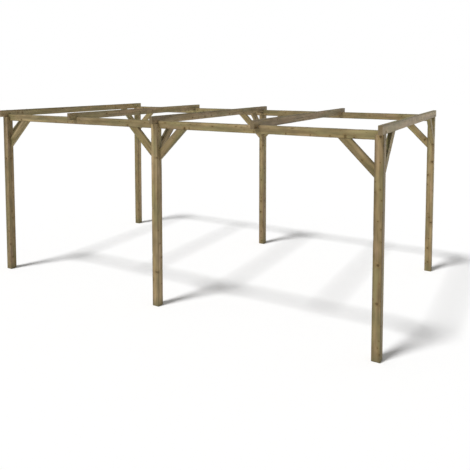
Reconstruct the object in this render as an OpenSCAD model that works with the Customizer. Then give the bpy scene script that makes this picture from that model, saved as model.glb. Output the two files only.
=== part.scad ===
// Open timber carport frame: rebated posts, two long beams, notched rafters and mitred knee braces.
// Millimetres. The origin is on the ground under the middle of the frame, +X runs along its length,
// +Y runs from the front posts to the back posts, and +Z is up.

/* [Frame] */
// Length over the outer faces of the end posts
frame_length = 5400; // [4200:10:6600]
// Width over the outer faces of the front and back posts
frame_width = 2950; // [2400:10:3600]
// Height of the rafters' top edges above the ground
frame_height = 2300; // [2000:5:2800]

/* [Posts] */
// Side of a square post
post_size = 90; // [80:1:140]
// Radius of a post's eased edges
post_arris = 5; // [1:0.5:10]

/* [Beams] */
// Thickness of a beam, which also sets the rebate in a post's head
beam_thickness = 45; // [35:1:60]
// Depth of a beam
beam_depth = 92; // [80:1:140]

/* [Rafters] */
// Thickness of a rafter
rafter_thickness = 45; // [35:1:60]
// Depth of a rafter
rafter_depth = 92; // [80:1:140]
// Length of a rafter past the outer faces of the posts, at each end
rafter_overhang = 60; // [20:1:200]
// Depth of the notch that drops a rafter over a beam
notch_depth = 35; // [20:1:50]

/* [Knee braces] */
// Thickness of a brace
brace_thickness = 45; // [35:1:60]
// Depth of a brace, square to its length
brace_depth = 92; // [60:1:110]
// Distance from the corner to a brace's lower edge, along the post and along the timber above
brace_leg = 374; // [250:1:600]

/* [Fit] */
// Radius of the eased edges of beams, rafters and braces
plank_arris = 4; // [1:0.5:8]
// Gap between a beam and each side wall of a rebate or notch
joint_gap = 0.5; // [0.2:0.1:2]

/* [Hidden] */
$fn = 48;

// Cutters reach this far past the faces that they cut
cut_past = 10;

// Levels above the ground, worked down from the rafters' tops
rafter_bottom = frame_height - rafter_depth;
beam_top = rafter_bottom + notch_depth;
beam_bottom = beam_top - beam_depth;

// Centre lines, from the middle of the frame
post_x = (frame_length - post_size) / 2;
post_y = (frame_width - post_size) / 2;
post_inner_y = frame_width / 2 - post_size;
beam_y = post_inner_y + beam_thickness / 2;
rafter_length = frame_width + 2 * rafter_overhang;

// Names of the rows and columns of posts, each with its side of the middle
ROWS = [["front", -1], ["back", 1]];
COLUMNS = [["left", -1], ["middle", 0], ["right", 1]];

// Rafters from left to right, evenly spaced, with the end ones flush with the posts' outer faces
RAFTERS = ["rafter_left_end", "rafter_left_bay", "rafter_middle", "rafter_right_bay", "rafter_right_end"];
rafter_pitch = (frame_length - rafter_thickness) / (len(RAFTERS) - 1);

// Braces along a beam: the column that each one leans on, the way that it runs, and its name
LONG_BRACES = [
    ["left", -1, 1],
    ["middle_left", 0, -1],
    ["middle_right", 0, 1],
    ["right", 1, -1],
];

// Centre line of a rafter, counted from the left end
function rafter_x(index) = (index - (len(RAFTERS) - 1) / 2) * rafter_pitch;

// Centre line of the rafter over a column of posts
function rafter_over(column_side) = rafter_x((column_side + 1) * (len(RAFTERS) - 1) / 2);

// Section of a planed timber with eased edges, centred
module eased_section(width, depth, arris) {
    square([width - 2 * arris, depth], center = true);
    square([width, depth - 2 * arris], center = true);
    for (side_x = [-1, 1], side_y = [-1, 1]) {
        translate([side_x * (width / 2 - arris), side_y * (depth / 2 - arris)])
            circle(r = arris);
    }
}

// Post whose head is rebated on its inner side: the beam lies on the shoulder,
// and the outer half stands on beside the beam to carry the rafter
module post(column_side, row_side) {
    color("#8C7D5A")
    translate([column_side * post_x, row_side * post_y, 0])
        difference() {
            linear_extrude(height = rafter_bottom)
                eased_section(post_size, post_size, post_arris);
            rebate(row_side);
        }
}

// Cutter for a post's rebate, as wide as the beam and its gap
module rebate(row_side) {
    rebate_width = beam_thickness + joint_gap;
    wall_to_middle = rebate_width - post_size / 2;
    y_from = row_side < 0 ? -wall_to_middle : -post_size / 2 - cut_past;
    translate([-post_size / 2 - cut_past, y_from, beam_bottom])
        cube([post_size + 2 * cut_past, rebate_width + cut_past, rafter_bottom]);
}

// Beam along one row of posts
module beam(row_side) {
    color("#8A7B58")
    translate([0, row_side * beam_y, beam_bottom + beam_depth / 2])
        rotate([0, 90, 0])
            linear_extrude(height = frame_length, center = true)
                eased_section(beam_depth, beam_thickness, plank_arris);
}

// Rafter with a notch over each beam
module rafter(index) {
    color("#857A62")
    translate([rafter_x(index), 0, 0])
        difference() {
            translate([0, 0, rafter_bottom + rafter_depth / 2])
                rotate([90, 0, 0])
                    linear_extrude(height = rafter_length, center = true)
                        eased_section(rafter_thickness, rafter_depth, plank_arris);
            for (row = ROWS) {
                translate([0, row[1] * beam_y, 0])
                    notch();
            }
        }
}

// Cutter for one notch, centred on its beam
module notch() {
    notch_width = beam_thickness + 2 * joint_gap;
    across = rafter_thickness + 2 * cut_past;
    translate([-across / 2, -notch_width / 2, rafter_bottom - cut_past])
        cube([across, notch_width, notch_depth + cut_past]);
}

// Brace at 45 degrees in the corner below a timber, mitred to the post's face and to the timber's underside.
// The corner is at the origin, with the post on the -X side and the timber above
module knee_brace() {
    run = brace_leg * sqrt(2);
    corner = 2 * brace_leg;
    intersection() {
        translate([0, 0, -brace_leg])
            rotate([0, 45, 0])
                translate([-brace_depth / 2, 0, -brace_depth])
                    linear_extrude(height = run + 2 * brace_depth)
                        eased_section(brace_depth, brace_thickness, plank_arris);
        translate([0, -brace_thickness, -corner])
            cube([corner, 2 * brace_thickness, corner]);
    }
}

// Brace from a post's side face up to the beam
module long_brace(column_side, row_side, way) {
    color("#8B7A56")
    translate([column_side * post_x + way * post_size / 2, row_side * beam_y, beam_bottom])
        rotate([0, 0, way > 0 ? 0 : 180])
            knee_brace();
}

// Brace from a post's inner face up to the rafter
module cross_brace(column_side, row_side) {
    color("#857757")
    translate([rafter_over(column_side), row_side * post_inner_y, rafter_bottom])
        rotate([0, 0, -row_side * 90])
            knee_brace();
}

for (row = ROWS, column = COLUMNS)
    post(column[1], row[1]);

for (row = ROWS)
    beam(row[1]);

for (index = [0 : len(RAFTERS) - 1])
    rafter(index);

for (row = ROWS, brace = LONG_BRACES)
    long_brace(brace[1], row[1], brace[2]);

for (row = ROWS, column = COLUMNS)
    cross_brace(column[1], row[1]);
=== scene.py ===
"""Looks of an open timber carport frame: planed, pressure-treated pine in soft studio light.

Lengths are metres in the frame's own axes: +X runs along the beams, +Y from the front posts to the
back posts, and +Z is up. A timber's own axes run along its grain, across its section and through it.
"""

import logging
import math
from abc import ABC, abstractmethod
from collections.abc import Mapping, Sequence
from dataclasses import dataclass, field
from enum import Enum
from typing import NamedTuple, Union

import bpy
import numpy as np
from mathutils import Euler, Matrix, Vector


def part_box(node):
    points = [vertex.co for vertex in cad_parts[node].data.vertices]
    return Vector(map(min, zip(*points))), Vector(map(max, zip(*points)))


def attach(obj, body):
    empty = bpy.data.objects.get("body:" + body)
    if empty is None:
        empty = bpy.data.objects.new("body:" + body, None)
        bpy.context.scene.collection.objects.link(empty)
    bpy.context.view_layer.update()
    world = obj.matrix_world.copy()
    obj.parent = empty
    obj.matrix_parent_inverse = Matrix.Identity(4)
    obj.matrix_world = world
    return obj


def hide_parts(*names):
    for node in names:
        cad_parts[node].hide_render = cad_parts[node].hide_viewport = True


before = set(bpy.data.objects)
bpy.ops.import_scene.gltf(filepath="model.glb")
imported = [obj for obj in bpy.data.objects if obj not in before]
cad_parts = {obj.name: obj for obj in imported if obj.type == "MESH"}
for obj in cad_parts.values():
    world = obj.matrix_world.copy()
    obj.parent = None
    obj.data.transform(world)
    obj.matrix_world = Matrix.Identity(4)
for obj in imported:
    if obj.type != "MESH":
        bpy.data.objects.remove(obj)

LOG = logging.getLogger("carport")
BODY = "root"

ALONG_X = Vector((1, 0, 0))
ALONG_Y = Vector((0, 1, 0))
UP = Vector((0, 0, 1))
SIDES = (-1, 1)
FULL_TURN = 2 * math.pi
QUARTER_TURN = math.pi / 2
SHARP_ANGLE = math.radians(38.0)
TOLERANCE = 1e-9
NOISE_MEAN = 0.5
NO_CHECK = -1
CHECK_BOTTOM = 0
CHECK_LINES = (-1, CHECK_BOTTOM, 1)
SAWN_AWAY = -1

Triple = tuple[float, float, float]
Span = tuple[float, float]
SocketValue = Union["Wire", float, Sequence[float]]


class Slot(Enum):
    """Kinds of timber, one of which each timber carries."""

    POSTS = "posts"
    BEAMS = "beams"
    RAFTERS = "rafters"
    BRACES = "braces"


class Column(Enum):
    """Columns of posts, from left to right."""

    LEFT = "left"
    MIDDLE = "middle"
    RIGHT = "right"


class RafterPlace(Enum):
    """Rafters, from left to right."""

    LEFT_END = "left_end"
    LEFT_BAY = "left_bay"
    MIDDLE = "middle"
    RIGHT_BAY = "right_bay"
    RIGHT_END = "right_end"

    @property
    def node(self) -> str:
        """Node of the rafter."""
        return f"rafter_{self.value}"


class BeamBrace(Enum):
    """Braces along a beam, from left to right, each with its way along X from its post."""

    LEFT = ("left", 1)
    MIDDLE_LEFT = ("middle_left", -1)
    MIDDLE_RIGHT = ("middle_right", 1)
    RIGHT = ("right", -1)

    @property
    def word(self) -> str:
        """Name of the brace as the nodes write it."""
        return self.value[0]

    @property
    def way(self) -> Vector:
        """Level direction away from its post."""
        return Vector((self.value[1], 0, 0))


class Row(Enum):
    """Rows of posts, each with its side of the middle along Y."""

    FRONT = -1
    BACK = 1

    @property
    def word(self) -> str:
        """Name of the row as the nodes write it."""
        return self.name.lower()

    @property
    def inward(self) -> Vector:
        """Level direction from the row to the middle of the frame."""
        return Vector((0, -self.value, 0))

    @property
    def beam(self) -> str:
        """Node of the row's beam."""
        return f"beam_{self.word}"

    def post(self, column: Column) -> str:
        """Node of one of the row's posts."""
        return f"post_{self.word}_{column.value}"

    def brace(self, brace: BeamBrace) -> str:
        """Node of one of the braces along the row's beam."""
        return f"brace_{self.word}_{brace.word}"

    def cross_brace(self, column: Column) -> str:
        """Node of the brace from one of the row's posts to the rafter above it."""
        return f"cross_brace_{self.word}_{column.value}"


class Axis(Enum):
    """Axes of a timber's section."""

    ACROSS = 0
    THROUGH = 1


class Face(Enum):
    """Long faces of a timber, numbered anticlockwise round its section."""

    ACROSS_HIGH = 0
    THROUGH_HIGH = 1
    ACROSS_LOW = 2
    THROUGH_LOW = 3

    @property
    def normal(self) -> np.ndarray:
        """Outward direction in the section, as across and through."""
        turn = self.value * QUARTER_TURN
        return np.round([math.cos(turn), math.sin(turn)])

    @property
    def travel(self) -> np.ndarray:
        """Anticlockwise direction along the face, as across and through."""
        across, through = self.normal
        return np.array([-through, across])


class Mark(Enum):
    """Attributes that a timber's mesh carries for its finish."""

    GRAIN = "grain"
    TONE = "tone"
    # Edge darkness (rubbed dirt and painted shade), painted shade in drying checks, and soil at the
    # feet.
    WEAR = "wear"
    END_GRAIN = "end_grain"
    # How far the surface looks up: it darkens tops partly as weathered wood and partly as painted shade,
    # and sets algae and roughness.
    RAIN = "rain"


class Draw(Enum):
    """Kinds of random draws, each with what it adds to a timber's seed."""

    SURFACE = 0
    HEART = 70
    CHECKS = 500
    TONE = 1000

    def start(self, seed: int) -> np.random.Generator:
        """Random numbers for this kind of draw on the timber with that seed."""
        return np.random.default_rng(seed + self.value)


class Wire:
    """A shader socket that Python's operators can do maths on."""

    def __init__(self, graph: "Graph", socket: bpy.types.NodeSocket | None) -> None:
        """Keeps the graph, so that an expression can add its nodes there."""
        self.graph = graph
        self.socket = socket

    def other(self, output: str) -> "Wire":
        """Another output of the same node."""
        return Wire(self.graph, self.graph.find(self.socket.node.outputs, output))

    def _maths(self, operation: str, first: SocketValue, second: SocketValue = 0.0) -> "Wire":
        """One Math node."""
        settings = {"operation": operation}
        return self.graph.add("ShaderNodeMath", settings, {"Value": first, "Value_001": second})

    def __add__(self, term: SocketValue) -> "Wire":
        """Sum."""
        return self._maths("ADD", self, term)

    __radd__ = __add__

    def __sub__(self, term: SocketValue) -> "Wire":
        """Difference."""
        return self._maths("SUBTRACT", self, term)

    def __rsub__(self, term: SocketValue) -> "Wire":
        """Difference from a number."""
        return self._maths("SUBTRACT", term, self)

    def __mul__(self, factor: SocketValue) -> "Wire":
        """Product."""
        return self._maths("MULTIPLY", self, factor)

    __rmul__ = __mul__

    def __truediv__(self, divisor: SocketValue) -> "Wire":
        """Quotient."""
        return self._maths("DIVIDE", self, divisor)

    def __rtruediv__(self, dividend: SocketValue) -> "Wire":
        """Quotient of a number."""
        return self._maths("DIVIDE", dividend, self)

    def larger(self, value: SocketValue) -> "Wire":
        """The larger of this value and another."""
        return self._maths("MAXIMUM", self, value)

    def fraction(self) -> "Wire":
        """What is left over the last whole number."""
        return self._maths("FRACT", self)

    def size(self) -> "Wire":
        """The value without its sign."""
        return self._maths("ABSOLUTE", self)

    def bearing(self, base: SocketValue) -> "Wire":
        """Angle of the point that has this value as its rise over a base, in radians."""
        return self._maths("ARCTAN2", self, base)

    def between(self, start: float, end: float) -> "Wire":
        """Value that is start where this one is 0, and end where it is 1."""
        return self * (end - start) + start

    def step(self, low: float, high: float) -> "Wire":
        """Smooth step from 0 at low to 1 at high.

        Args:
            low: Value at which the step starts.
            high: Value at which it ends, below low for a step down.

        Returns:
            The step, within 0 and 1.
        """
        settings = {"interpolation_type": "SMOOTHSTEP"}
        sockets = {"Value": self, "From Min": low, "From Max": high}
        return self.graph.add("ShaderNodeMapRange", settings, sockets)


class Graph:
    """Node tree of a material or a world."""

    def __init__(self, tree: bpy.types.NodeTree) -> None:
        """Starts from an empty tree."""
        self.tree = tree
        tree.nodes.clear()

    @staticmethod
    def find(sockets: bpy.types.bpy_prop_collection, key: str) -> bpy.types.NodeSocket:
        """Socket with that identifier, or else that name."""
        by_identifier = [socket for socket in sockets if socket.identifier == key]
        return by_identifier[0] if by_identifier else sockets[key]

    def add(self, kind: str, settings: Mapping[str, object] | None = None,
            sockets: Mapping[str, SocketValue] | None = None, output: str = "") -> Wire:
        """Adds a node of any type.

        Args:
            kind: The node's type.
            settings: Its own settings, which are set first.
            sockets: Values or links of its inputs, by identifier or name.
            output: Identifier or name of the output to return, the first if empty.

        Returns:
            The output, with no socket where the node has none.
        """
        node = self.tree.nodes.new(kind)
        for key, value in (settings or {}).items():
            setattr(node, key, value)
        for key, value in (sockets or {}).items():
            socket = self.find(node.inputs, key)
            if isinstance(value, Wire):
                self.tree.links.new(value.socket, socket)
            else:
                socket.default_value = value
        if output:
            return Wire(self, self.find(node.outputs, output))
        return Wire(self, node.outputs[0] if node.outputs else None)

    def attribute(self, mark: Mark, output: str = "Vector") -> Wire:
        """A mark that the mesh carries."""
        return self.add("ShaderNodeAttribute", {"attribute_name": mark.value}, output=output)

    def vectors(self, operation: str, *terms: SocketValue, output: str = "Vector") -> Wire:
        """One Vector Math node."""
        sockets = dict(zip(("Vector", "Vector_001", "Vector_002"), terms))
        return self.add("ShaderNodeVectorMath", {"operation": operation}, sockets, output)

    def split(self, vector: Wire) -> tuple[Wire, Wire, Wire]:
        """The three values of a vector."""
        first = self.add("ShaderNodeSeparateXYZ", None, {"Vector": vector}, "X")
        return first, first.other("Y"), first.other("Z")

    def blend(self, first: SocketValue, second: SocketValue, factor: SocketValue,
              mode: str = "MIX") -> Wire:
        """Mixes two colours.

        Args:
            first: Colour at a factor of 0.
            second: Colour that is mixed in.
            factor: Share of the second colour.
            mode: Blend mode of the Mix node.

        Returns:
            The mixed colour.
        """
        settings = {"data_type": "RGBA", "blend_type": mode}
        sockets = {"Factor_Float": factor, "A_Color": first, "B_Color": second}
        return self.add("ShaderNodeMix", settings, sockets, "Result_Color")

    def coats(self, colour: Wire, coats: Sequence[tuple[Triple, Wire]]) -> Wire:
        """Lays coats over a colour.

        Args:
            colour: The colour below.
            coats: Colour of each coat and the share that it covers, from the lowest up.

        Returns:
            The colour on top.
        """
        for coat, share in coats:
            colour = self.blend(colour, opaque(coat), share)
        return colour

    def bump(self, height: Wire, strength: float, distance: float) -> Wire:
        """Normal that follows a height."""
        sockets = {"Height": height, "Strength": strength, "Distance": distance}
        return self.add("ShaderNodeBump", None, sockets)


def opaque(colour: Triple, level: float = 1.0) -> tuple[float, float, float, float]:
    """A colour as a socket takes it, made lighter or darker by a level."""
    return (*(channel * level for channel in colour), 1.0)


def new_material(name: str) -> tuple[bpy.types.Material, Graph]:
    """A new material with an empty graph.

    Args:
        name: Name of the material.

    Returns:
        The material and its graph.
    """
    material = bpy.data.materials.new(name)
    material.use_nodes = True
    return material, Graph(material.node_tree)


def new_object(name: str, data: bpy.types.ID) -> bpy.types.Object:
    """A new object in the scene.

    Args:
        name: Name of the object.
        data: Its mesh, light or camera.

    Returns:
        The object.
    """
    thing = bpy.data.objects.new(name, data)
    bpy.context.scene.collection.objects.link(thing)
    return thing


def smooth_mesh(name: str, points: Sequence[Sequence[float]],
                faces: Sequence[Sequence[int]]) -> bpy.types.Mesh:
    """A mesh that is smooth up to its sharp edges.

    Args:
        name: Name of the mesh.
        points: Places of its vertices.
        faces: Vertices of each face, anticlockwise from outside.

    Returns:
        The mesh.
    """
    mesh = bpy.data.meshes.new(name)
    mesh.from_pydata(points, [], faces)
    mesh.shade_smooth()
    mesh.set_sharp_from_angle(angle=SHARP_ANGLE)
    return mesh


class Finish(ABC):
    """What a kind of piece is made of."""

    name: str

    @abstractmethod
    def material(self) -> bpy.types.Material:
        """Builds the material."""


@dataclass(frozen=True)
class Pattern:
    """Noise in waves to the metre, and the levels between which it makes a mask."""

    waves: Triple
    detail: float
    low: float = 0.0
    high: float = 1.0

    def noise(self, place: Wire, output: str = "Fac") -> Wire:
        """The noise at a place on the surface.

        Args:
            place: The place.
            output: Fac for a value, Color for three.

        Returns:
            The noise, about 0.5 on average.
        """
        stretched = place.graph.vectors("MULTIPLY", place, self.waves)
        sockets = {"Vector": stretched, "Scale": 1.0, "Detail": self.detail}
        return place.graph.add("ShaderNodeTexNoise", None, sockets, output)

    def cut(self, noise: Wire) -> Wire:
        """The noise as a mask, from 0 at the low level to 1 at the high level."""
        return noise.step(self.low, self.high)

    def mask(self, place: Wire) -> Wire:
        """The mask at a place on the surface."""
        return self.cut(self.noise(place))


@dataclass(frozen=True)
class GrowthRings:
    """Rings of early and late wood round a heart that wanders along the grain."""

    heart_drift: Pattern = Pattern((0.9, 0.0, 0.0), 1.0)
    heart_sway: float = 0.034
    width: float = 0.0052
    wobble: Pattern = Pattern((1.3, 24.0, 24.0), 2.0)
    wobble_rings: float = 1.6
    knot_swing: float = 0.005
    late_rise: Span = (0.2, 0.86)
    late_fall: Span = (1.0, 0.92)

    def place(self, graph: Graph) -> Wire:
        """Place in the tree.

        Args:
            graph: The material's graph.

        Returns:
            The place along the grain and, from the heart, across and through it.
        """
        grain = graph.attribute(Mark.GRAIN)
        drift = self.heart_drift.noise(grain, "Color")
        sway = (self.heart_sway,) * 3
        middle = (-self.heart_sway * NOISE_MEAN,) * 3
        return graph.vectors("ADD", grain, graph.vectors("MULTIPLY_ADD", drift, sway, middle))

    def late_share(self, place: Wire, halo: Wire) -> Wire:
        """Share of dark late wood, from rings that swing round the knots.

        Args:
            place: Place in the tree.
            halo: Mask of the halos round the knots.

        Returns:
            The share, which rises over each ring and drops at its end.
        """
        section = place.graph.vectors("MULTIPLY", place, (0.0, 1.0, 1.0))
        radius = place.graph.vectors("LENGTH", section, output="Value")
        wobble = self.wobble.noise(place) * self.wobble_rings
        ring = ((radius + halo * self.knot_swing) / self.width + wobble).fraction()
        return ring.step(*self.late_rise) * ring.step(*self.late_fall)


class KnotMasks(NamedTuple):
    """The knots at a place: the knot, its halo, the distance over its radius, and its darkness."""

    knot: Wire
    halo: Wire
    spacing: Wire
    darkness: Wire


@dataclass(frozen=True)
class Knots:
    """Knots where branches left the heart, at most one in each cell along the grain and round the heart.

    The share is that of the cells with a knot. Radii and fades are parts of a cell, and edges are
    distances over the knot's radius. An empty cell keeps a tiny radius, so that it can be divided by.
    """

    share: float
    per_metre: float = 10.5
    per_turn: float = 6.0
    brown: Triple = (0.094, 0.058, 0.018)
    bark: Triple = (0.053, 0.032, 0.010)
    least_radius: float = 0.055
    radius_spread: float = 0.13
    empty_radius: float = 0.002
    share_fade: float = 0.04
    seam_fade: Span = (0.1, 0.3)
    border_fade: float = 0.14
    outline: Pattern = Pattern((45.0, 110.0, 110.0), 2.0)
    outline_levels: Span = (0.72, 1.28)
    knot_edge: Span = (1.05, 0.6)
    halo_edge: Span = (3.0, 0.9)
    rim_edge: Span = (0.55, 0.85)
    darkness: Span = (0.62, 1.0)
    halo_level: float = 2.2
    halo_strength: float = 0.42
    knot_strength: float = 0.92

    def masks(self, place: Wire) -> KnotMasks:
        """Scatters the knots.

        Args:
            place: Place in the tree.

        Returns:
            Their masks.
        """
        graph = place.graph
        along, across, through = graph.split(place)
        turn = through.bearing(across) * (self.per_turn / FULL_TURN)
        spread = graph.add("ShaderNodeCombineXYZ", None, {"X": along * self.per_metre, "Y": turn})
        cells = self._cells(spread, "F1")
        border = self._cells(spread, "F2") - cells
        chance = graph.add("ShaderNodeSeparateColor", None, {"Color": cells.other("Color")}, "Red")
        present = self._present(cells, chance) * border.step(0.0, self.border_fade)
        radius = (self.least_radius + chance * chance * self.radius_spread) * present + self.empty_radius
        ragged = self.outline.noise(place).between(*self.outline_levels)
        spacing = cells / radius * ragged
        knot = spacing.step(*self.knot_edge)
        halo = spacing.step(*self.halo_edge) * present
        return KnotMasks(knot, halo, spacing, chance.other("Blue").between(*self.darkness))

    @staticmethod
    def _cells(spread: Wire, feature: str) -> Wire:
        """Cells that hold at most one knot each.

        Args:
            spread: Place along the grain and round the heart, in cells.
            feature: F1 for the nearest cell, F2 for the next one.

        Returns:
            Distance to the middle of that cell.
        """
        settings = {"feature": feature, "voronoi_dimensions": "2D"}
        sockets = {"Vector": spread, "Scale": 1.0}
        return spread.graph.add("ShaderNodeTexVoronoi", settings, sockets, "Distance")

    def _present(self, cells: Wire, chance: Wire) -> Wire:
        """Which cells have a knot: a share of them, and none on the seam of the turn.

        Args:
            cells: Distance to the middle of the nearest cell.
            chance: First random number of the cell.

        Returns:
            1 for a cell with a knot, and 0 for one without.
        """
        rarity = 1.0 - self.share
        drawn = chance.other("Green").step(rarity, rarity + self.share_fade)
        _, turn, _ = cells.graph.split(cells.other("Position"))
        seam = self.per_turn / 2
        near, far = self.seam_fade
        return drawn * turn.size().step(seam - near, seam - far)

    def stained(self, colour: Wire, masks: KnotMasks) -> Wire:
        """Adds brown knots with a rim of bark and a stained halo.

        Args:
            colour: Colour of the wood.
            masks: Masks of the knots.

        Returns:
            The colour with the knots.
        """
        graph = colour.graph
        rim = masks.spacing.step(*self.rim_edge)
        heart = graph.blend(opaque(self.brown), opaque(self.bark), rim)
        halo = masks.halo * masks.darkness * self.halo_strength
        stained = graph.blend(colour, opaque(self.brown, self.halo_level), halo)
        return graph.blend(stained, heart, masks.knot * masks.darkness * self.knot_strength)


@dataclass(frozen=True)
class Weathering:
    """Soiled feet, algae and sawn ends, with painted shade: weathered tops and rubbed edges darkened
    partly as shade, open drying checks darkened as shade.
    """

    soil: Triple = (0.150, 0.136, 0.062)
    rain_brown: Triple = (0.112, 0.094, 0.060)
    algae_green: Triple = (0.128, 0.150, 0.052)
    edge_dirt_and_shade_brown: Triple = (0.080, 0.066, 0.042)
    check_shade_brown: Triple = (0.018, 0.012, 0.007)
    end_brown: Triple = (0.190, 0.142, 0.078)
    rub: Pattern = Pattern((6.0, 30.0, 30.0), 2.0, 0.2, 0.6)
    algae: Pattern = Pattern((2.6, 12.0, 12.0), 3.0, 0.50, 0.66)
    soil_strength: float = 0.8
    rain_strength: Span = (0.4, 0.9)
    algae_strength: float = 0.7
    edge_dirt_and_shade_strength: Span = (0.05, 0.50)
    end_levels: Span = (1.3, 0.7)
    end_strength: float = 0.75

    def worn_and_shaded(self, place: Wire, colour: Wire, late: Wire, rain: Wire) -> Wire:
        """Adds the weathered marks and the painted shade.

        Args:
            place: Place in the tree.
            colour: Colour of the faces.
            late: Share of late wood.
            rain: How far the surface looks up, from 0 to 1, which darkens tops partly as weathered wood
                and partly as painted shade.

        Returns:
            The finished colour.
        """
        graph = place.graph
        # The first value is edge darkness (rubbed dirt and painted shade), the second painted shade in
        # drying checks, the third soil.
        edge, check, foot = graph.split(graph.attribute(Mark.WEAR))
        end = graph.attribute(Mark.END_GRAIN, "Fac")
        rub = self.rub.noise(place)
        colour = graph.coats(colour, (
            (self.soil, foot * self.rub.cut(rub) * self.soil_strength),
            # Up-facing faces darkened partly as weathered wood and partly as painted shade on the tops.
            (self.rain_brown, rain * rub.between(*self.rain_strength)),
            (self.algae_green, rain * self.algae.mask(place) * self.algae_strength),
            # Edges, and the long faces near the ends, darkened partly as rubbed dirt and partly as
            # painted shade along the arrises.
            (self.edge_dirt_and_shade_brown, edge * (1.0 - end) * rub.between(*self.edge_dirt_and_shade_strength)),
            # Nearly black painted shade at the bottoms of the drying checks.
            (self.check_shade_brown, check),
        ))
        early_end, late_end = (opaque(self.end_brown, level) for level in self.end_levels)
        return graph.blend(colour, graph.blend(early_end, late_end, late), end * self.end_strength)


@dataclass(frozen=True)
class PineFinish(Finish):
    """Planed, pressure-treated pine: rings, fibre, streaks, stains, knots, weathered marks and painted
    shade.
    """

    name: str
    early_wood: Triple
    late_wood: Triple
    olive_stain: Triple
    warm_stain: Triple
    film_strength: float
    knots: Knots
    gloss: float = 0.21
    weathered_grey: Triple = (0.290, 0.246, 0.176)
    rings: GrowthRings = GrowthRings()
    weathering: Weathering = Weathering()
    fibre: Pattern = Pattern((5.0, 210.0, 210.0), 3.0)
    fine_fibre: Pattern = Pattern((11.0, 640.0, 640.0), 2.0)
    streaks: Pattern = Pattern((0.5, 32.0, 32.0), 3.0, 0.32, 0.68)
    bands: Pattern = Pattern((0.3, 14.0, 14.0), 2.0, 0.30, 0.70)
    blotches: Pattern = Pattern((6.0, 20.0, 20.0), 3.0, 0.34, 0.70)
    stains: Pattern = Pattern((1.7, 10.0, 10.0), 3.0)
    film: Pattern = Pattern((2.2, 16.0, 16.0), 3.0, 0.35, 0.75)
    olive_edge: Span = (0.50, 0.64)
    warm_edge: Span = (0.48, 0.34)
    late_strength: float = 0.5
    streak_strength: float = 0.72
    stain_strength: float = 0.75
    fibre_levels: Span = (0.85, 1.15)
    fine_levels: Span = (0.88, 1.12)
    band_levels: Span = (1.29, 0.79)
    blotch_levels: Span = (1.19, 0.85)
    roughness: float = 0.54
    fibre_roughness: float = 0.22
    rain_roughness: float = 0.3
    late_polish: float = 0.05
    knot_polish: float = 0.08
    relief: float = 0.0008
    relief_strength: float = 0.6
    late_height: float = 0.4
    fibre_height: float = 0.45
    fine_height: float = 0.3
    knot_height: float = 0.35

    def material(self) -> bpy.types.Material:
        """Builds the material.

        Returns:
            The material, which reads the timber's own marks.
        """
        pine, graph = new_material(self.name)
        place = self.rings.place(graph)
        knots = self.knots.masks(place)
        late = self.rings.late_share(place, knots.halo)
        fibre = self.fibre.noise(place)
        fine = self.fine_fibre.noise(place)
        rain = graph.attribute(Mark.RAIN, "Fac")
        wood = self.knots.stained(self._wood(place, late, fibre, fine), knots)
        grain_height = late * self.late_height + fibre * self.fibre_height + fine * self.fine_height
        height = grain_height + knots.knot * self.knot_height
        dullness = (fibre - NOISE_MEAN) * self.fibre_roughness + rain * self.rain_roughness
        polish = late * self.late_polish + knots.knot * self.knot_polish
        shader = graph.add("ShaderNodeBsdfPrincipled", None, {
            "Base Color": self.weathering.worn_and_shaded(place, wood, late, rain),
            "Roughness": self.roughness + dullness - polish,
            "Normal": graph.bump(height, self.relief_strength, self.relief),
            "Specular IOR Level": self.gloss,
        })
        graph.add("ShaderNodeOutputMaterial", None, {"Surface": shader})
        return pine

    def _wood(self, place: Wire, late: Wire, fibre: Wire, fine: Wire) -> Wire:
        """Colour of wood without knots or wear.

        Args:
            place: Place in the tree.
            late: Share of late wood.
            fibre: Noise along the grain.
            fine: Finer noise along the grain.

        Returns:
            The colour, with streaks, stains and the timber's own tone.
        """
        graph = place.graph
        lightness, stain_shift, film_shift = graph.split(graph.attribute(Mark.TONE))
        stain = self.stains.noise(place) + stain_shift
        film = self.film.cut(self.film.noise(place) + film_shift)
        grain = graph.blend(opaque(self.early_wood), opaque(self.late_wood), late * self.late_strength)
        colour = graph.coats(grain, (
            (self.late_wood, self.streaks.mask(place) * self.streak_strength),
            (self.olive_stain, stain.step(*self.olive_edge) * self.stain_strength),
            (self.warm_stain, stain.step(*self.warm_edge) * self.stain_strength),
            (self.weathered_grey, film * self.film_strength),
        ))
        level = fibre.between(*self.fibre_levels) * fine.between(*self.fine_levels)
        level = level * self.bands.mask(place).between(*self.band_levels)
        level = level * self.blotches.mask(place).between(*self.blotch_levels)
        return graph.blend(colour, level * lightness, 1.0, "MULTIPLY")


@dataclass(frozen=True)
class CoatedSteel(Finish):
    """Bronze-coloured coating on timber screws, rubbed thin in places."""

    name: str = "screw_coating"
    coating: Triple = (0.085, 0.068, 0.038)
    rubbed: Triple = (0.260, 0.235, 0.190)
    speckle: Pattern = Pattern((420.0, 420.0, 420.0), 2.0, 0.55, 0.72)
    metal: Span = (0.35, 0.85)
    roughness: Span = (0.42, 0.30)
    relief: float = 0.0002
    relief_strength: float = 0.25

    def material(self) -> bpy.types.Material:
        """Builds the material.

        Returns:
            The material, whose wear follows noise in the part's own axes.
        """
        steel, graph = new_material(self.name)
        speckle = self.speckle.noise(graph.add("ShaderNodeTexCoord", output="Object"))
        rub = self.speckle.cut(speckle)
        shader = graph.add("ShaderNodeBsdfPrincipled", None, {
            "Base Color": graph.blend(opaque(self.coating), opaque(self.rubbed), rub),
            "Metallic": rub.between(*self.metal),
            "Roughness": rub.between(*self.roughness),
            "Normal": graph.bump(speckle, self.relief_strength, self.relief),
        })
        graph.add("ShaderNodeOutputMaterial", None, {"Surface": shader})
        return steel


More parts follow.
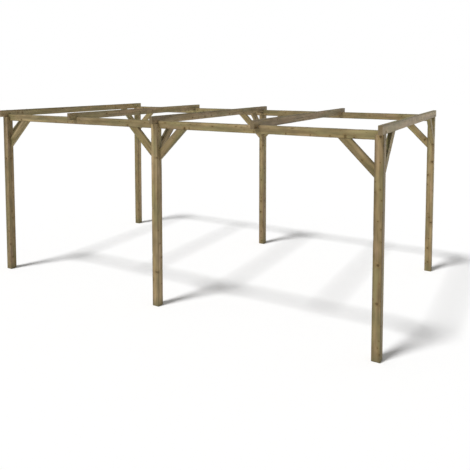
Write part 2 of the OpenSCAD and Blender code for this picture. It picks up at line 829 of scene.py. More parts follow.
@dataclass(frozen=True)
class Box:
    """Box of a CAD node at rest."""

    low: Vector
    high: Vector

    @classmethod
    def of(cls, node: str) -> "Box":
        """Box of that node."""
        return cls(*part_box(node))

    @property
    def middle(self) -> Vector:
        """Middle of the box."""
        return (self.low + self.high) / 2

    @property
    def size(self) -> Vector:
        """Sizes of the box along X, Y and Z."""
        return self.high - self.low


@dataclass(frozen=True)
class Placement:
    """Where a timber lies: the start of its centre line and its own axes."""

    start: Vector
    along: Vector
    across: Vector

    @property
    def through(self) -> Vector:
        """Direction through the timber."""
        return self.along.cross(self.across)

    def to_frame(self, points: np.ndarray) -> np.ndarray:
        """Points in the timber's axes, moved to the frame's axes."""
        axes = np.array([self.along, self.across, self.through])
        return np.array(self.start) + points @ axes


@dataclass(frozen=True)
class DryingCheck:
    """A crack that drying opened along the grain of one face, and that strays in two waves."""

    face: Face
    offset: float
    start: float
    end: float
    width: float
    depth: float
    line_spacing: float = 0.0015
    closed_gap: float = 0.0004
    taper: float = 0.6
    # How quickly the bottom of the check takes on painted shade as it opens.
    shade_darkening: float = 3.0
    wander: float = 0.0025
    waves: Span = (9.0, 3.7)
    offset_phase: float = 300.0

    def openness(self, along: np.ndarray) -> np.ndarray:
        """How far the crack stands open, from 0 at its ends to 1."""
        share = np.clip((along - self.start) / (self.end - self.start), 0.0, 1.0)
        return np.sin(math.pi * share) ** self.taper

    def drift(self, along: np.ndarray) -> np.ndarray:
        """How far the crack strays along the face."""
        short, long = (along * wave for wave in self.waves)
        return self.wander * np.sin(short + self.offset * self.offset_phase) * np.sin(long)


class RunMark(NamedTuple):
    """A place along a face, with the drying check that it belongs to and its line of the crack."""

    run: float
    check: int = NO_CHECK
    line: int = CHECK_BOTTOM


class RingPoint(NamedTuple):
    """A point of a section: its place, the way it faces, its edge, its corner and its drying check."""

    spot: np.ndarray
    normal: np.ndarray
    edge: float
    corner: int
    check: int = NO_CHECK
    line: int = CHECK_BOTTOM


class Ring:
    """Points round a timber's section, anticlockwise, with one array for each thing that they carry."""

    def __init__(self, points: Sequence[RingPoint]) -> None:
        """Gathers what the points carry."""
        columns = [np.array(values) for values in zip(*points)]
        self.spots, self.normals, self.edges, self.corners, self.checks, self.lines = columns

    def chain(self, kept: np.ndarray) -> list[int]:
        """Kept points in ring order, from the first one after a gap.

        Args:
            kept: Mask over the ring's points.

        Returns:
            Their indices.
        """
        count = len(kept)
        starts = [i for i in range(count) if kept[i] and not kept[i - 1]] or [0]
        order = [(starts[0] + i) % count for i in range(count)]
        return [i for i in order if kept[i]]


@dataclass(frozen=True)
class Section:
    """Rectangular section with eased edges."""

    across: float
    through: float
    arris: float
    edge_band: float = 0.013
    face_step: float = 0.016
    mark_room: float = 0.005
    arc_points: int = 3

    def ring(self, checks: Sequence[DryingCheck], saw_lines: Sequence[tuple[int, float]]) -> Ring:
        """Lays points round the section.

        Args:
            checks: Drying checks, each of which gets two lips and a bottom.
            saw_lines: Lines that a cut follows, each the number of an axis and a level on it.

        Returns:
            The ring.
        """
        points: list[RingPoint] = []
        for face in Face:
            marks = [RunMark(check.offset + line * check.line_spacing, number, line)
                     for number, check in enumerate(checks) if check.face is face
                     for line in CHECK_LINES]
            marks += [RunMark(level * face.travel[axis])
                      for axis, level in saw_lines if face.travel[axis]]
            points += self._flat(face, marks)
            points += self._arc(face)
        return Ring(points)

    def halves(self, face: Face) -> Span:
        """Half sizes of the section out to a face and along it."""
        sizes = (self.across / 2, self.through / 2)
        return sizes[face.value % 2], sizes[1 - face.value % 2]

    def _flat(self, face: Face, marks: Sequence[RunMark]) -> list[RingPoint]:
        """Points of one flat face.

        Args:
            face: The face.
            marks: Places that drying checks and saw lines need.

        Returns:
            The points, in order along the face.
        """
        half_out, half_run = self.halves(face)
        run_end = half_run - self.arris
        points = []
        for run, check, line in self._runs(half_run, marks):
            spot = face.normal * half_out + face.travel * run
            edge = float(abs(run) > run_end - TOLERANCE)
            corner = face.value if run >= 0 else (face.value - 1) % len(Face)
            points.append(RingPoint(spot, face.normal, edge, corner, check, line))
        return points

    def _runs(self, half_run: float, marks: Sequence[RunMark]) -> list[RunMark]:
        """Places along one face: its ends, even steps, and the marks, which push near steps aside.

        Args:
            half_run: Half size of the section along the face.
            marks: Places that drying checks and saw lines need.

        Returns:
            The places, in order.
        """
        band = half_run - self.edge_band
        run_end = half_run - self.arris
        steps = np.linspace(-band, band, max(2, round(2 * band / self.face_step) + 1))
        free = [step for step in steps if all(abs(step - mark.run) > self.mark_room for mark in marks)]
        return sorted([RunMark(float(run)) for run in (*free, -run_end, run_end)] + list(marks))

    def _arc(self, face: Face) -> list[RingPoint]:
        """Points of the eased edge after one face.

        Args:
            face: The face before the edge.

        Returns:
            The points, in order round the edge.
        """
        half_out, half_run = self.halves(face)
        pivot = face.normal * (half_out - self.arris) + face.travel * (half_run - self.arris)
        points = []
        for turn in np.linspace(0.0, QUARTER_TURN, self.arc_points + 2)[1:-1]:
            normal = face.normal * math.cos(turn) + face.travel * math.sin(turn)
            points.append(RingPoint(pivot + normal * self.arris, normal, 1.0, face.value))
        return points


@dataclass(frozen=True)
class CheckDraw:
    """How a timber's drying checks are drawn, with their reach and start as shares of its length."""

    edge_room: float = 0.02
    reach: Span = (0.14, 0.42)
    start: Span = (0.06, 0.94)
    spread: float = 0.6
    width: Span = (0.0012, 0.0026)
    depth: Span = (0.006, 0.012)

    def draw(self, seed: int, count: int, length: float, section: Section) -> list[DryingCheck]:
        """Drying checks for one timber, at most one to a face.

        Args:
            seed: Seed of the timber.
            count: How many there are.
            length: Length that they may lie in.
            section: Section of the timber.

        Returns:
            The checks.
        """
        random = Draw.CHECKS.start(seed)
        checks = []
        for face in random.permutation(list(Face))[:count]:
            _, half_run = section.halves(face)
            room = half_run - self.edge_room
            reach = random.uniform(*self.reach) * length
            start = random.uniform(*self.start) * (length - reach)
            offset = random.uniform(-room, room) * self.spread
            width = random.uniform(*self.width)
            depth = random.uniform(*self.depth)
            checks.append(DryingCheck(face, offset, start, start + reach, width, depth))
        return checks


CHECKS = CheckDraw()


@dataclass(frozen=True)
class SawCut:
    """A stretch of a timber where part of its section is sawn away."""

    start: float
    end: float
    axis: Axis
    level: float
    keep_above: bool

    def kept(self, ring: Ring) -> np.ndarray:
        """Mask of the ring's points that stay."""
        spots = ring.spots[:, self.axis.value]
        return spots > self.level - TOLERANCE if self.keep_above else spots < self.level + TOLERANCE


@dataclass(frozen=True)
class Surface:
    """Slight unevenness of one planed timber: waves in its faces and nicks in its edges."""

    seed: int
    length: float
    wave: float = 0.0004
    wave_count: int = 3
    wave_lengths: Span = (0.25, 1.3)
    nicks_per_metre: float = 2.2
    nick_depth: float = 0.0022
    nick_sizes: Span = (0.1, 1.0)
    nick_reaches: Span = (0.012, 0.045)

    def shift(self, ring: Ring, along: np.ndarray) -> np.ndarray:
        """How far each ring point moves, across and through.

        Args:
            ring: The section's points.
            along: Place of each point along the timber.

        Returns:
            One move for each point.
        """
        random = Draw.SURFACE.start(self.seed)
        kinds = (len(Axis), len(SIDES), self.wave_count)
        phases = random.uniform(0.0, FULL_TURN, kinds)
        lengths = random.uniform(*self.wave_lengths, kinds)
        moves = np.zeros_like(ring.spots)
        for axis in Axis:
            facing = ring.normals[:, axis.value]
            for number, side in enumerate(SIDES):
                kind = (axis.value, number)
                turns = FULL_TURN * along[:, None] / lengths[kind] + phases[kind]
                swell = np.sin(turns).mean(axis=1) * self.wave
                moves[:, axis.value] += np.where((facing > 0) == (side > 0), facing * swell, 0.0)
        return moves - ring.normals * self._nicks(random, ring, along)[:, None]

    def _nicks(self, random: np.random.Generator, ring: Ring, along: np.ndarray) -> np.ndarray:
        """How far each edge point is knocked in.

        Args:
            random: The timber's random numbers, after those of its waves.
            ring: The section's points.
            along: Place of each point along the timber.

        Returns:
            One depth for each point, 0 away from the edges.
        """
        depth = np.zeros(len(along))
        for corner in range(len(Face)):
            here = (ring.corners == corner) * ring.edges
            for _ in range(int(self.length * self.nicks_per_metre)):
                spot = random.uniform(0.0, self.length)
                reach = random.uniform(*self.nick_reaches)
                size = self.nick_depth * random.uniform(*self.nick_sizes) ** 2
                depth = np.maximum(depth, here * size * np.exp(-((along - spot) / reach) ** 2))
        return depth


@dataclass(frozen=True)
class Timber:
    """One planed timber: where it lies, how it is sawn and what its wood is like."""

    node: str
    slot: Slot
    place: Placement
    section: Section
    length: float
    seed: int
    mitre: bool = False
    end_chamfer: Span = (0.0, 0.0)
    checks: Sequence[DryingCheck] = ()
    cuts: Sequence[SawCut] = ()
    soil_height: float = 0.0
    heart: Span = (0.0, 0.0)
    paleness: float = 1.0
    # Extra grey film; on the right end rafter it is partly its own grey tone and partly painted sheen.
    grey_film_and_sheen: float = 0.0
    grain_starts: Span = (2.0, 60.0)
    lightness: Span = (0.95, 1.05)
    stain_shift: float = 0.05
    film_shift: float = 0.1

    def build(self) -> bpy.types.Object:
        """Builds the mesh and its marks, and puts the piece in the place of its node.

        Returns:
            The object, named after the node that it stands for.
        """
        sweep = Sweep(self)
        sweep.lay()
        local = np.concatenate(sweep.points)
        mesh = smooth_mesh(f"{self.node}_timber", self.place.to_frame(local).tolist(), sweep.faces)
        self._mark(mesh, sweep, local)
        piece = new_object(mesh.name, mesh)
        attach(piece, BODY)
        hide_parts(self.node)
        return piece

    def _mark(self, mesh: bpy.types.Mesh, sweep: "Sweep", local: np.ndarray) -> None:
        """Writes what the finish reads.

        Args:
            mesh: The timber's mesh.
            sweep: What its vertices and faces carry.
            local: Its points in the timber's own axes.
        """
        random = Draw.TONE.start(self.seed)
        grain = local + [random.uniform(*self.grain_starts), *self.heart]
        lightness = random.uniform(*self.lightness) * self.paleness
        stain = random.uniform(-self.stain_shift, self.stain_shift)
        film = random.uniform(-self.film_shift, self.film_shift) + self.grey_film_and_sheen
        tones = np.tile([lightness, stain, film], (len(local), 1))
        vectors = {Mark.GRAIN: grain, Mark.TONE: tones, Mark.WEAR: np.concatenate(sweep.wear)}
        for mark, values in vectors.items():
            layer = mesh.attributes.new(mark.value, "FLOAT_VECTOR", "POINT")
            layer.data.foreach_set("vector", values.astype(np.float32).ravel())
        rain = np.concatenate(sweep.rain)
        numbers = {Mark.RAIN: ("POINT", rain), Mark.END_GRAIN: ("FACE", sweep.sawn)}
        for mark, (domain, values) in numbers.items():
            layer = mesh.attributes.new(mark.value, "FLOAT", domain)
            layer.data.foreach_set("value", np.array(values, np.float32))


@dataclass
class Sweep:
    """Rings laid along one timber and joined, with a wall at each saw cut and a face at each end."""

    timber: Timber
    station_step: float = 0.03
    clear_share: float = 0.2
    end_band: float = 0.012
    ring: Ring = field(init=False)
    points: list[np.ndarray] = field(default_factory=list)
    wear: list[np.ndarray] = field(default_factory=list)
    rain: list[np.ndarray] = field(default_factory=list)
    faces: list[list[int]] = field(default_factory=list)
    sawn: list[float] = field(default_factory=list)

    def __post_init__(self) -> None:
        """Lays out the timber's section."""
        saw_lines = sorted({(cut.axis.value, cut.level) for cut in self.timber.cuts})
        self.ring = self.timber.section.ring(self.timber.checks, saw_lines)

    def lay(self) -> None:
        """Lays a ring at each station and joins them."""
        stations = self._stations()
        spans = [self._kept(middle) for middle in (stations[:-1] + stations[1:]) / 2]
        masks = [spans[0], *(before | after for before, after in zip(spans, spans[1:])), spans[-1]]
        rings = [self._station(place, mask) for place, mask in zip(stations, masks)]
        for first, second, span in zip(rings, rings[1:], spans):
            chain = self.ring.chain(span)
            for here, after in zip(chain, chain[1:] + chain[:1]):
                self._face([first[here], first[after], second[after], second[here]], False)
        for vertices, before, after in zip(rings[1:], spans, spans[1:]):
            if before.sum() != after.sum():
                self._wall(vertices, after if before.all() else before, before.all())
        self._face([rings[0][point] for point in self.ring.chain(spans[0])][::-1], True)
        self._face([rings[-1][point] for point in self.ring.chain(spans[-1])], True)

    def _stations(self) -> np.ndarray:
        """Places of the rings: ends, chamfers and saw cuts, and even steps that stay clear of them.

        Returns:
            The places, from 0 to the timber's length.
        """
        length = self.timber.length
        start, end = self.timber.end_chamfer
        marks = {0.0, length, start, length - end, self.end_band, length - self.end_band}
        marks |= {edge for cut in self.timber.cuts for edge in (cut.start, cut.end)}
        within = [mark for mark in marks if 0.0 <= mark <= length]
        room = self.clear_share * self.station_step
        even = np.linspace(0.0, length, round(length / self.station_step) + 1)
        free = [step for step in even if min(abs(step - mark) for mark in within) > room]
        return np.array(sorted(free + within))

    def _kept(self, place: float) -> np.ndarray:
        """Mask of the ring's points that are there at a place along the timber."""
        cuts = [cut.kept(self.ring) for cut in self.timber.cuts if cut.start < place < cut.end]
        return cuts[0] if cuts else np.ones(len(self.ring.spots), bool)

    def _face(self, corners: list[int], sawn: bool) -> None:
        """One face, with its mark of end grain."""
        self.faces.append(corners)
        self.sawn.append(float(sawn))

    def _wall(self, vertices: np.ndarray, kept: np.ndarray, forward: bool) -> None:
        """End-grain wall of a saw cut.

        Args:
            vertices: Vertices of the whole ring at the wall.
            kept: Mask of the points that go on past it.
            forward: Whether the wall faces along the timber.
        """
        chain = self.ring.chain(kept)
        count = len(kept)
        removed = [(chain[-1] + step) % count for step in range((chain[0] - chain[-1]) % count + 1)]
        corners = [vertices[point] for point in removed]
        self._face(corners if forward else corners[::-1], True)

    def _station(self, place: float, mask: np.ndarray) -> np.ndarray:
        """Lays one ring.

        Args:
            place: Place along the timber.
            mask: Points that are there.

        Returns:
            Vertex of each ring point, or SAWN_AWAY where it is not there.
        """
        timber = self.timber
        along, spots = self._spots(place)
        down = self._open_checks(along, spots)
        soil = np.zeros(len(along))
        if timber.soil_height:
            soil = np.clip(1.0 - along / timber.soil_height, 0.0, 1.0)
        # Edge darkness also covers the bands near the ends; it is partly rubbed dirt and partly painted
        # shade.
        near_end = max(0.0, 1.0 - min(place, timber.length - place) / self.end_band)
        edges = np.maximum(self.ring.edges, near_end)
        rise = np.array([timber.place.across.z, timber.place.through.z])
        first = sum(len(block) for block in self.points)
        vertices = np.full(len(mask), SAWN_AWAY)
        vertices[mask] = np.arange(first, first + mask.sum())
        self.points.append(np.column_stack([along, spots])[mask])
        # Edge darkness (rubbed dirt and painted shade), painted shade in the checks, and soil at the
        # feet.
        self.wear.append(np.column_stack([edges, down, soil])[mask])
        # How far each point looks up, which the finish turns into weathered colour and painted shade on
        # tops.
        self.rain.append(np.clip(self.ring.normals @ rise, 0.0, 1.0)[mask])
        return vertices

    def _spots(self, place: float) -> tuple[np.ndarray, np.ndarray]:
        """Ring points at one place, with the mitres, the unevenness and the chamfered ends.

        Args:
            place: Place along the timber.

        Returns:
            How far along each point lies, and its place in the section.
        """
        timber, ring = self.timber, self.ring
        along = np.full(len(ring.spots), place)
        if timber.mitre:
            set_back = ring.spots[:, Axis.ACROSS.value] + timber.section.across / 2
            along = set_back + (place / timber.length) * (timber.length - 2 * set_back)
        start, end = timber.end_chamfer
        chamfer = max(start - place, end - (timber.length - place), 0.0)
        shift = Surface(timber.seed, timber.length).shift(ring, along)
        return along, ring.spots + shift - ring.normals * chamfer

    def _open_checks(self, along: np.ndarray, spots: np.ndarray) -> np.ndarray:
        """Parts the lips of each drying check and sinks its bottom.

        Args:
            along: Place of each point along the timber.
            spots: Places in the section, which are moved.

        Returns:
            How far each point lies down in a check, from 0 to 1, which is its share of painted shade.
        """
        down = np.zeros(len(along))
        for number, check in enumerate(self.timber.checks):
            mine = self.ring.checks == number
            line = self.ring.lines[mine]
            bottom = line == CHECK_BOTTOM
            opened = check.openness(along[mine])
            gap = check.closed_gap - check.line_spacing + opened * check.width / 2
            run = check.drift(along[mine]) + line * gap
            sink = np.where(bottom, opened * check.depth, 0.0)
            spots[mine] += run[:, None] * check.face.travel - sink[:, None] * check.face.normal
            down[mine] = np.where(bottom, np.minimum(1.0, opened * check.shade_darkening), 0.0)
        return down


@dataclass
class Assembly(ABC):
    """Pieces of one kind, which share a finish."""

    finish: Finish

    @abstractmethod
    def build(self) -> list[bpy.types.Object]:
        """Builds the pieces and puts them in the frame."""

    def dress(self, pieces: Sequence[bpy.types.Object]) -> None:
        """Gives every piece the shared finish.

        Args:
            pieces: The built pieces.
        """
        material = self.finish.material()
        for piece in pieces:
            piece.data.materials.append(material)


@dataclass
class TimberSet(Assembly):
    """Timbers of one kind."""

    @abstractmethod
    def timbers(self) -> list[Timber]:
        """The timbers, in the order in which they are made."""

    def build(self) -> list[bpy.types.Object]:
        """Builds every timber and puts it in the frame."""
        return [timber.build() for timber in self.timbers()]


@dataclass
class Posts(TimberSet):
    """Six square posts, each rebated at its head for a beam."""

    arris: float = 0.005
    joint_gap: float = 0.0005
    foot_chamfer: float = 0.003
    soil_height: float = 0.11
    heart_reach: float = 0.05
    check_count: int = 2
    check_room: float = 0.05
    first_seed: int = 11
    back_seed_step: int = 10
    paleness: Mapping[str, float] = field(default_factory=lambda: {
        "post_front_left": 0.89, "post_front_middle": 1.11, "post_front_right": 1.02,
        "post_back_middle": 0.93, "post_back_right": 1.19,
    })

    def timbers(self) -> list[Timber]:
        """Front posts, then back posts, from left to right."""
        return [self._post(row, column, number) for row in Row for number, column in enumerate(Column)]

    def _post(self, row: Row, column: Column, number: int) -> Timber:
        """One post.

        Args:
            row: Its row.
            column: Its column.
            number: Number of the column, from the left.

        Returns:
            The timber, which starts at the foot.
        """
        node = row.post(column)
        box, beam = Box.of(node), Box.of(row.beam)
        section = Section(box.size.x, box.size.y, self.arris)
        seed = self.first_seed + number + (self.back_seed_step if row is Row.BACK else 0)
        shoulder = beam.low.z - box.low.z
        outer = beam.low.y if row is Row.FRONT else beam.high.y
        wall = outer + row.value * self.joint_gap - box.middle.y
        start = Vector((box.middle.x, box.middle.y, box.low.z))
        return Timber(
            node, Slot.POSTS, Placement(start, UP, ALONG_X), section, box.size.z, seed,
            end_chamfer=(self.foot_chamfer, 0.0),
            checks=CHECKS.draw(seed, self.check_count, shoulder - self.check_room, section),
            cuts=(SawCut(shoulder, box.size.z, Axis.THROUGH, wall, row is Row.BACK),),
            soil_height=self.soil_height,
            heart=tuple(Draw.HEART.start(seed).uniform(-self.heart_reach, self.heart_reach, len(Axis))),
            paleness=self.paleness.get(node, 1.0),
        )


@dataclass
class Beams(TimberSet):
    """Two long beams, each lying in the rebates of its row of posts."""

    arris: float = 0.004
    end_chamfer: float = 0.0015
    heart_across: float = 0.05
    heart_through: float = 0.03
    check_count: int = 2
    middle_seed: int = 31
    paleness: Mapping[Row, float] = field(default_factory=lambda: {Row.FRONT: 1.17, Row.BACK: 1.0})

    def timbers(self) -> list[Timber]:
        """Front beam, then back beam."""
        return [self._beam(row) for row in Row]

    def _beam(self, row: Row) -> Timber:
        """One beam.

        Args:
            row: Its row.

        Returns:
            The timber, which starts at the left.
        """
        box = Box.of(row.beam)
        section = Section(box.size.y, box.size.z, self.arris)
        seed = self.middle_seed + row.value
        start = Vector((box.low.x, box.middle.y, box.middle.z))
        return Timber(
            row.beam, Slot.BEAMS, Placement(start, ALONG_X, ALONG_Y), section, box.size.x, seed,
            end_chamfer=(self.end_chamfer, self.end_chamfer),
            checks=CHECKS.draw(seed, self.check_count, box.size.x, section),
            heart=(self.heart_across, self.heart_through * row.value),
            paleness=self.paleness[row],
        )


@dataclass
class Rafters(TimberSet):
    """Five rafters on edge, each notched over both beams."""

    arris: float = 0.004
    joint_gap: float = 0.0005
    end_chamfer: float = 0.0015
    heart_step: float = 0.02
    heart_through: float = 0.045
    check_count: int = 3
    side_check_limit: float = 0.008
    first_seed: int = 41
    # The right end rafter is paler and greyer partly in its own tone and partly as painted sheen,
    # standing for the gloss on its outer face.
    paleness: Mapping[RafterPlace, float] = field(default_factory=lambda: {
        RafterPlace.LEFT_END: 1.15, RafterPlace.RIGHT_BAY: 0.70, RafterPlace.RIGHT_END: 1.24,
    })
    grey_film_and_sheen: Mapping[RafterPlace, float] = field(default_factory=lambda: {RafterPlace.RIGHT_END: 0.3})

    def timbers(self) -> list[Timber]:
        """Rafters from left to right."""
        return [self._rafter(place, number) for number, place in enumerate(RafterPlace)]

    def _rafter(self, place: RafterPlace, number: int) -> Timber:
        """One rafter.

        Args:
            place: Which rafter it is.
            number: Its number, from the left.

        Returns:
            The timber, which starts at the front.
        """
        box = Box.of(place.node)
        section = Section(box.size.z, box.size.x, self.arris)
        seed = self.first_seed + number
        from_middle = number - len(RafterPlace) // 2
        start = Vector((box.middle.x, box.low.y, box.middle.z))
        return Timber(
            place.node, Slot.RAFTERS, Placement(start, ALONG_Y, UP), section, box.size.y, seed,
            end_chamfer=(self.end_chamfer, self.end_chamfer),
            checks=self._clear_checks(seed, box.size.y, section),
            cuts=tuple(self._notch(box, Box.of(row.beam)) for row in Row),
            heart=(self.heart_step * from_middle, self.heart_through),
            paleness=self.paleness.get(place, 1.0),
            grey_film_and_sheen=self.grey_film_and_sheen.get(place, 0.0),
        )

    def _notch(self, rafter: Box, beam: Box) -> SawCut:
        """Notch that drops a rafter over a beam.

        Args:
            rafter: Box of the rafter.
            beam: Box of the beam.

        Returns:
            The cut, which keeps the wood above the beam.
        """
        start = beam.low.y - self.joint_gap - rafter.low.y
        end = beam.high.y + self.joint_gap - rafter.low.y
        return SawCut(start, end, Axis.ACROSS, beam.high.z - rafter.middle.z, True)

    def _clear_checks(self, seed: int, length: float, section: Section) -> list[DryingCheck]:
        """Drying checks on the top, and those on other faces that stay near the face's middle.

        Args:
            seed: Seed of the rafter.
            length: Its length.
            section: Its section.

        Returns:
            The checks, clear of the notches' corners.
        """
        drawn = CHECKS.draw(seed, self.check_count, length, section)
        return [check for check in drawn
                if check.face is Face.ACROSS_HIGH or abs(check.offset) < self.side_check_limit]


@dataclass
class KneeBraces(TimberSet):
    """Fourteen braces at 45 degrees, mitred to the posts and to the timbers above them."""

    depth: float = 0.092
    arris: float = 0.004
    heart_reach: Span = (0.02, 0.07)
    beam_seed: int = 61
    cross_seed: int = 81
    row_seed_step: int = 5
    paleness: Mapping[str, float] = field(default_factory=lambda: {
        "brace_front_left": 1.10, "brace_front_middle_right": 0.73, "brace_back_middle_left": 1.12,
        "brace_back_right": 1.10, "cross_brace_front_right": 0.95,
    })

    def timbers(self) -> list[Timber]:
        """Braces along the beams, then braces under the rafters.

        Returns:
            The timbers.
        """
        braces = []
        for row in Row:
            seed = self.beam_seed + self.row_seed_step * row.value
            braces += [self._brace(row.brace(brace), brace.way, seed + number)
                       for number, brace in enumerate(BeamBrace)]
        for row in Row:
            seed = self.cross_seed + self.row_seed_step * row.value
            braces += [self._brace(row.cross_brace(column), row.inward, seed + number)
                       for number, column in enumerate(Column)]
        return braces

    def _brace(self, node: str, way: Vector, seed: int) -> Timber:
        """One brace.

        Args:
            node: Its node.
            way: Level direction away from its post.
            seed: Seed of its wood.

        Returns:
            The timber, which starts at the post.
        """
        box = Box.of(node)
        leg = box.size.z
        along = (way + UP).normalized()
        across = (UP - way).normalized()
        foot = Vector((box.middle.x, box.middle.y, box.low.z)) - way * leg / 2
        thickness = box.size.y if way.x else box.size.x
        return Timber(
            node, Slot.BRACES, Placement(foot + across * self.depth / 2, along, across),
            Section(self.depth, thickness, self.arris), leg * math.sqrt(2), seed,
            mitre=True,
            heart=tuple(Draw.HEART.start(seed).uniform(*self.heart_reach, len(Axis))),
            paleness=self.paleness.get(node, 1.0),
        )


class Seat(NamedTuple):
    """Where a screw's head lies, and the way that it faces."""

    spot: Vector
    out: Vector


class HeadRing(NamedTuple):
    """One ring of a screw's head: its radius, its height, and whether it follows the drive's lobes."""

    radius: float
    height: float
    lobed: bool = False


@dataclass
class Screws(Assembly):
    """Wafer-head timber screws that hold the joints, with six-lobed drives.

    The crown is the head's outline from the rim up, in parts of its radius and height.
    """

    head_radius: float = 0.0062
    head_height: float = 0.0026
    under_taper: float = 0.98
    sunk: float = 0.0006
    crown: Sequence[Span] = ((1.0, 0.25), (0.94, 0.6), (0.72, 0.92), (0.52, 1.0))
    drive_radius: float = 0.0026
    drive_depth: float = 0.0018
    drive_mouth: float = 0.97
    drive_taper: float = 0.94
    lobes: int = 6
    lobe_depth: float = 0.14
    sides: int = 36
    turn_step: float = 1.0
    pair_across: float = 0.010
    pair_along: float = 0.011
    post_pair_across: float = 0.022
    brace_reach: float = 0.3

    def build(self) -> list[bpy.types.Object]:
        """Builds one joined piece for each kind of joint.

        Returns:
            The pieces.
        """
        groups = {
            "rafter_screws": self._rafter_seats(),
            "beam_screws": self._beam_seats(),
            "brace_screws": self._brace_seats(),
        }
        return [self._heads(name, seats) for name, seats in groups.items()]

    def _rafter_seats(self) -> list[Seat]:
        """Two screws down through each rafter into each beam.

        Returns:
            Their seats.
        """
        seats = []
        for place in RafterPlace:
            rafter = Box.of(place.node)
            for row in Row:
                beam = Box.of(row.beam)
                for side in SIDES:
                    across = rafter.middle.x + side * self.pair_across
                    along = beam.middle.y + side * self.pair_along
                    seats.append(Seat(Vector((across, along, rafter.high.z)), UP))
        return seats

    def _beam_seats(self) -> list[Seat]:
        """Two screws through each beam into the standing half of each post.

        Returns:
            Their seats.
        """
        seats = []
        for row in Row:
            beam = Box.of(row.beam)
            inner = beam.high.y if row is Row.FRONT else beam.low.y
            for column in Column:
                post = Box.of(row.post(column))
                for side in SIDES:
                    across = post.middle.x + side * self.post_pair_across
                    height = beam.middle.z - side * self.pair_along
                    seats.append(Seat(Vector((across, inner, height)), row.inward))
        return seats

    def _brace_seats(self) -> list[Seat]:
        """One screw down into the top of each brace, clear of the rafters' own.

        Returns:
            Their seats.
        """
        rafter_top = Box.of(RafterPlace.MIDDLE.node).high.z
        seats = []
        for row in Row:
            beam_top = Box.of(row.beam).high.z
            seats += [self._brace_seat(row.brace(brace), brace.way, beam_top) for brace in BeamBrace]
            seats += [self._brace_seat(row.cross_brace(column), row.inward, rafter_top)
                      for column in Column]
        return seats

    def _brace_seat(self, node: str, way: Vector, top: float) -> Seat:
        """Seat of the screw into one brace.

        Args:
            node: Node of the brace.
            way: Level direction away from its post.
            top: Height of the top of the timber above it.

        Returns:
            The seat, on that timber's top.
        """
        brace = Box.of(node)
        spot = brace.middle + way * (self.brace_reach * abs(brace.size.dot(way)))
        return Seat(Vector((spot.x, spot.y, top)), UP)

    def _heads(self, name: str, seats: Sequence[Seat]) -> bpy.types.Object:
        """Joins one screw head at each seat, each turned a step further than the last.

        Args:
            name: Name of the piece.
            seats: Places of the heads.

        Returns:
            The object.
        """
        points: list[Vector] = []
        faces: list[list[int]] = []
        for number, seat in enumerate(seats):
            faces += self._head_faces(len(points))
            points += self._head_points(seat, number * self.turn_step)
        piece = new_object(name, smooth_mesh(name, points, faces))
        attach(piece, BODY)
        return piece

    def _profile(self) -> list[HeadRing]:
        """Outline of a head.

        Returns:
            Its rings, from under the rim to the floor of the drive.
        """
        radius, height = self.head_radius, self.head_height
        return [
            HeadRing(radius * self.under_taper, -self.sunk),
            *(HeadRing(radius * across, height * up) for across, up in self.crown),
            HeadRing(self.drive_radius, height * self.drive_mouth, True),
            HeadRing(self.drive_radius * self.drive_taper, height - self.drive_depth, True),
        ]

    def _head_points(self, seat: Seat, turned: float) -> list[Vector]:
        """Points of one head.

        Args:
            seat: Place of the head.
            turned: Angle that the head is turned by.

        Returns:
            The points, ring by ring.
        """
        side = seat.out.orthogonal().normalized()
        front = seat.out.cross(side)
        points = []
        for ring in self._profile():
            middle = seat.spot + seat.out * ring.height
            for turn in (FULL_TURN * step / self.sides for step in range(self.sides)):
                lobe = 1.0 + self.lobe_depth * math.cos(self.lobes * turn) if ring.lobed else 1.0
                outward = side * math.cos(turn + turned) + front * math.sin(turn + turned)
                points.append(middle + outward * (ring.radius * lobe))
        return points

    def _head_faces(self, first: int) -> list[list[int]]:
        """Faces of one head.

        Args:
            first: Its first vertex.

        Returns:
            The faces between its rings, the floor of its drive and its underside.
        """
        starts = [first + number * self.sides for number in range(len(self._profile()))]
        steps = range(self.sides)
        faces = []
        for low, high in zip(starts, starts[1:]):
            for step in steps:
                after = (step + 1) % self.sides
                faces.append([low + step, low + after, high + after, high + step])
        faces.append([starts[-1] + step for step in steps])
        faces.append([starts[0] + step for step in reversed(steps)])
        return faces


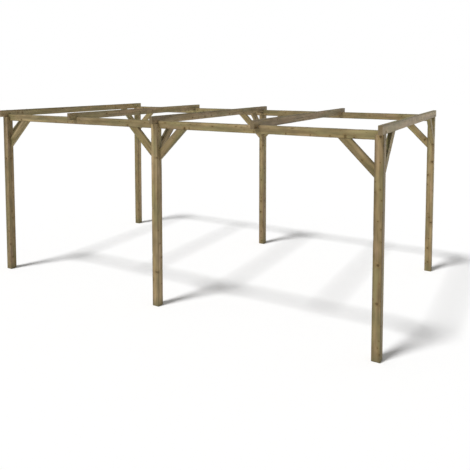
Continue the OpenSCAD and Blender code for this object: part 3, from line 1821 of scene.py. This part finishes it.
@dataclass(frozen=True)
class Studio:
    """White floor and surround, a soft high sun from the front left, and the photograph's camera."""

    floor_half: float = 60.0
    floor_white: float = 0.982
    floor_bounce: float = 0.94
    ambient: float = 0.295
    sun_energy: float = 2.506
    sun_softness: float = math.radians(10.4)
    sun_travel: Triple = (0.42, 0.90, -2.22)
    camera_place: Triple = (3.9129, -6.4873, 2.7006)
    camera_pitch: float = math.radians(86.3)
    camera_yaw: float = 0.5114
    camera_lens: float = 40.857
    camera_sensor: float = 36.0
    camera_drop: float = -0.2519

    def build(self) -> None:
        """Builds the floor, the light and the camera."""
        self._floor()
        self._surround()
        self._sun()
        self._camera()
        bpy.context.scene.view_settings.view_transform = "Standard"

    @staticmethod
    def _by_ray(graph: Graph, lighting: Wire, shown: Wire) -> Wire:
        """One shader for rays that carry light, and another for those that show the studio.

        Args:
            graph: The graph of the floor or the surround.
            lighting: Shader that lights the object.
            shown: Shader that the camera sees, and that gloss and glass show.

        Returns:
            The shader for all rays.
        """
        camera = graph.add("ShaderNodeLightPath", output="Is Camera Ray")
        seen = camera.larger(camera.other("Is Glossy Ray")).larger(camera.other("Is Transmission Ray"))
        sockets = {"Fac": seen, "Shader": lighting, "Shader_001": shown}
        return graph.add("ShaderNodeMixShader", None, sockets)

    def _floor(self) -> None:
        """Wide pale floor that keeps the frame's shadow."""
        half = self.floor_half
        corners = [(-half, -half, 0.0), (half, -half, 0.0), (half, half, 0.0), (-half, half, 0.0)]
        mesh = bpy.data.meshes.new("studio_floor")
        mesh.from_pydata(corners, [], [(0, 1, 2, 3)])
        paint, graph = new_material("studio_white")
        whites = [graph.add("ShaderNodeBsdfDiffuse", None, {"Color": opaque((level,) * 3)})
                  for level in (self.floor_bounce, self.floor_white)]
        graph.add("ShaderNodeOutputMaterial", None, {"Surface": self._by_ray(graph, *whites)})
        mesh.materials.append(paint)
        new_object(mesh.name, mesh)

    def _surround(self) -> None:
        """White surround for rays that show it, and a plain level of light from all sides."""
        world = bpy.data.worlds.new("studio_surround")
        world.use_nodes = True
        bpy.context.scene.world = world
        graph = Graph(world.node_tree)
        white = opaque((1.0, 1.0, 1.0))
        levels = [graph.add("ShaderNodeBackground", None, {"Color": white, "Strength": strength})
                  for strength in (self.ambient, 1.0)]
        graph.add("ShaderNodeOutputWorld", None, {"Surface": self._by_ray(graph, *levels)})

    def _sun(self) -> None:
        """Soft sun whose shadows run to the back right."""
        light = bpy.data.lights.new("soft_sun", "SUN")
        light.energy = self.sun_energy
        light.angle = self.sun_softness
        sun = new_object(light.name, light)
        sun.rotation_euler = Vector(self.sun_travel).to_track_quat("-Z", "Y").to_euler()

    def _camera(self) -> None:
        """Camera at the photograph's angle."""
        lens = bpy.data.cameras.new("photo_camera")
        lens.sensor_width = self.camera_sensor
        lens.lens = self.camera_lens
        lens.shift_y = self.camera_drop
        camera = new_object(lens.name, lens)
        camera.location = self.camera_place
        camera.rotation_euler = Euler((self.camera_pitch, 0.0, self.camera_yaw))
        bpy.context.scene.camera = camera


POST_PINE = PineFinish(
    "post_pine", early_wood=(0.325, 0.243, 0.124), late_wood=(0.195, 0.137, 0.057),
    olive_stain=(0.224, 0.190, 0.084), warm_stain=(0.320, 0.224, 0.132),
    film_strength=0.12, knots=Knots(0.86))
BEAM_PINE = PineFinish(
    "beam_pine", early_wood=(0.342, 0.262, 0.136), late_wood=(0.207, 0.150, 0.064),
    olive_stain=(0.235, 0.203, 0.093), warm_stain=(0.330, 0.233, 0.140),
    film_strength=0.12, knots=Knots(0.66), gloss=0.16)
RAFTER_PINE = PineFinish(
    "rafter_pine", early_wood=(0.318, 0.238, 0.120), late_wood=(0.194, 0.138, 0.058),
    olive_stain=(0.220, 0.186, 0.084), warm_stain=(0.312, 0.214, 0.122),
    film_strength=0.34, knots=Knots(0.50))
BRACE_PINE = PineFinish(
    "brace_pine", early_wood=(0.318, 0.247, 0.124), late_wood=(0.194, 0.144, 0.056),
    olive_stain=(0.220, 0.193, 0.080), warm_stain=(0.300, 0.221, 0.122),
    film_strength=0.10, knots=Knots(0.70), gloss=0.14)


def main() -> None:
    """Sets the studio, builds and dresses the timbers and the screws, and reports each piece."""
    logging.basicConfig(level=logging.INFO, format="%(name)s: %(message)s")
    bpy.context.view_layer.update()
    Studio().build()
    timber_sets = (Posts(POST_PINE), Beams(BEAM_PINE), Rafters(RAFTER_PINE), KneeBraces(BRACE_PINE))
    for assembly in (*timber_sets, Screws(CoatedSteel())):
        pieces = assembly.build()
        assembly.dress(pieces)
        for piece in pieces:
            LOG.info("%s: %d faces in %s", piece.name, len(piece.data.polygons), assembly.finish.name)


if __name__ == "__main__":
    main()
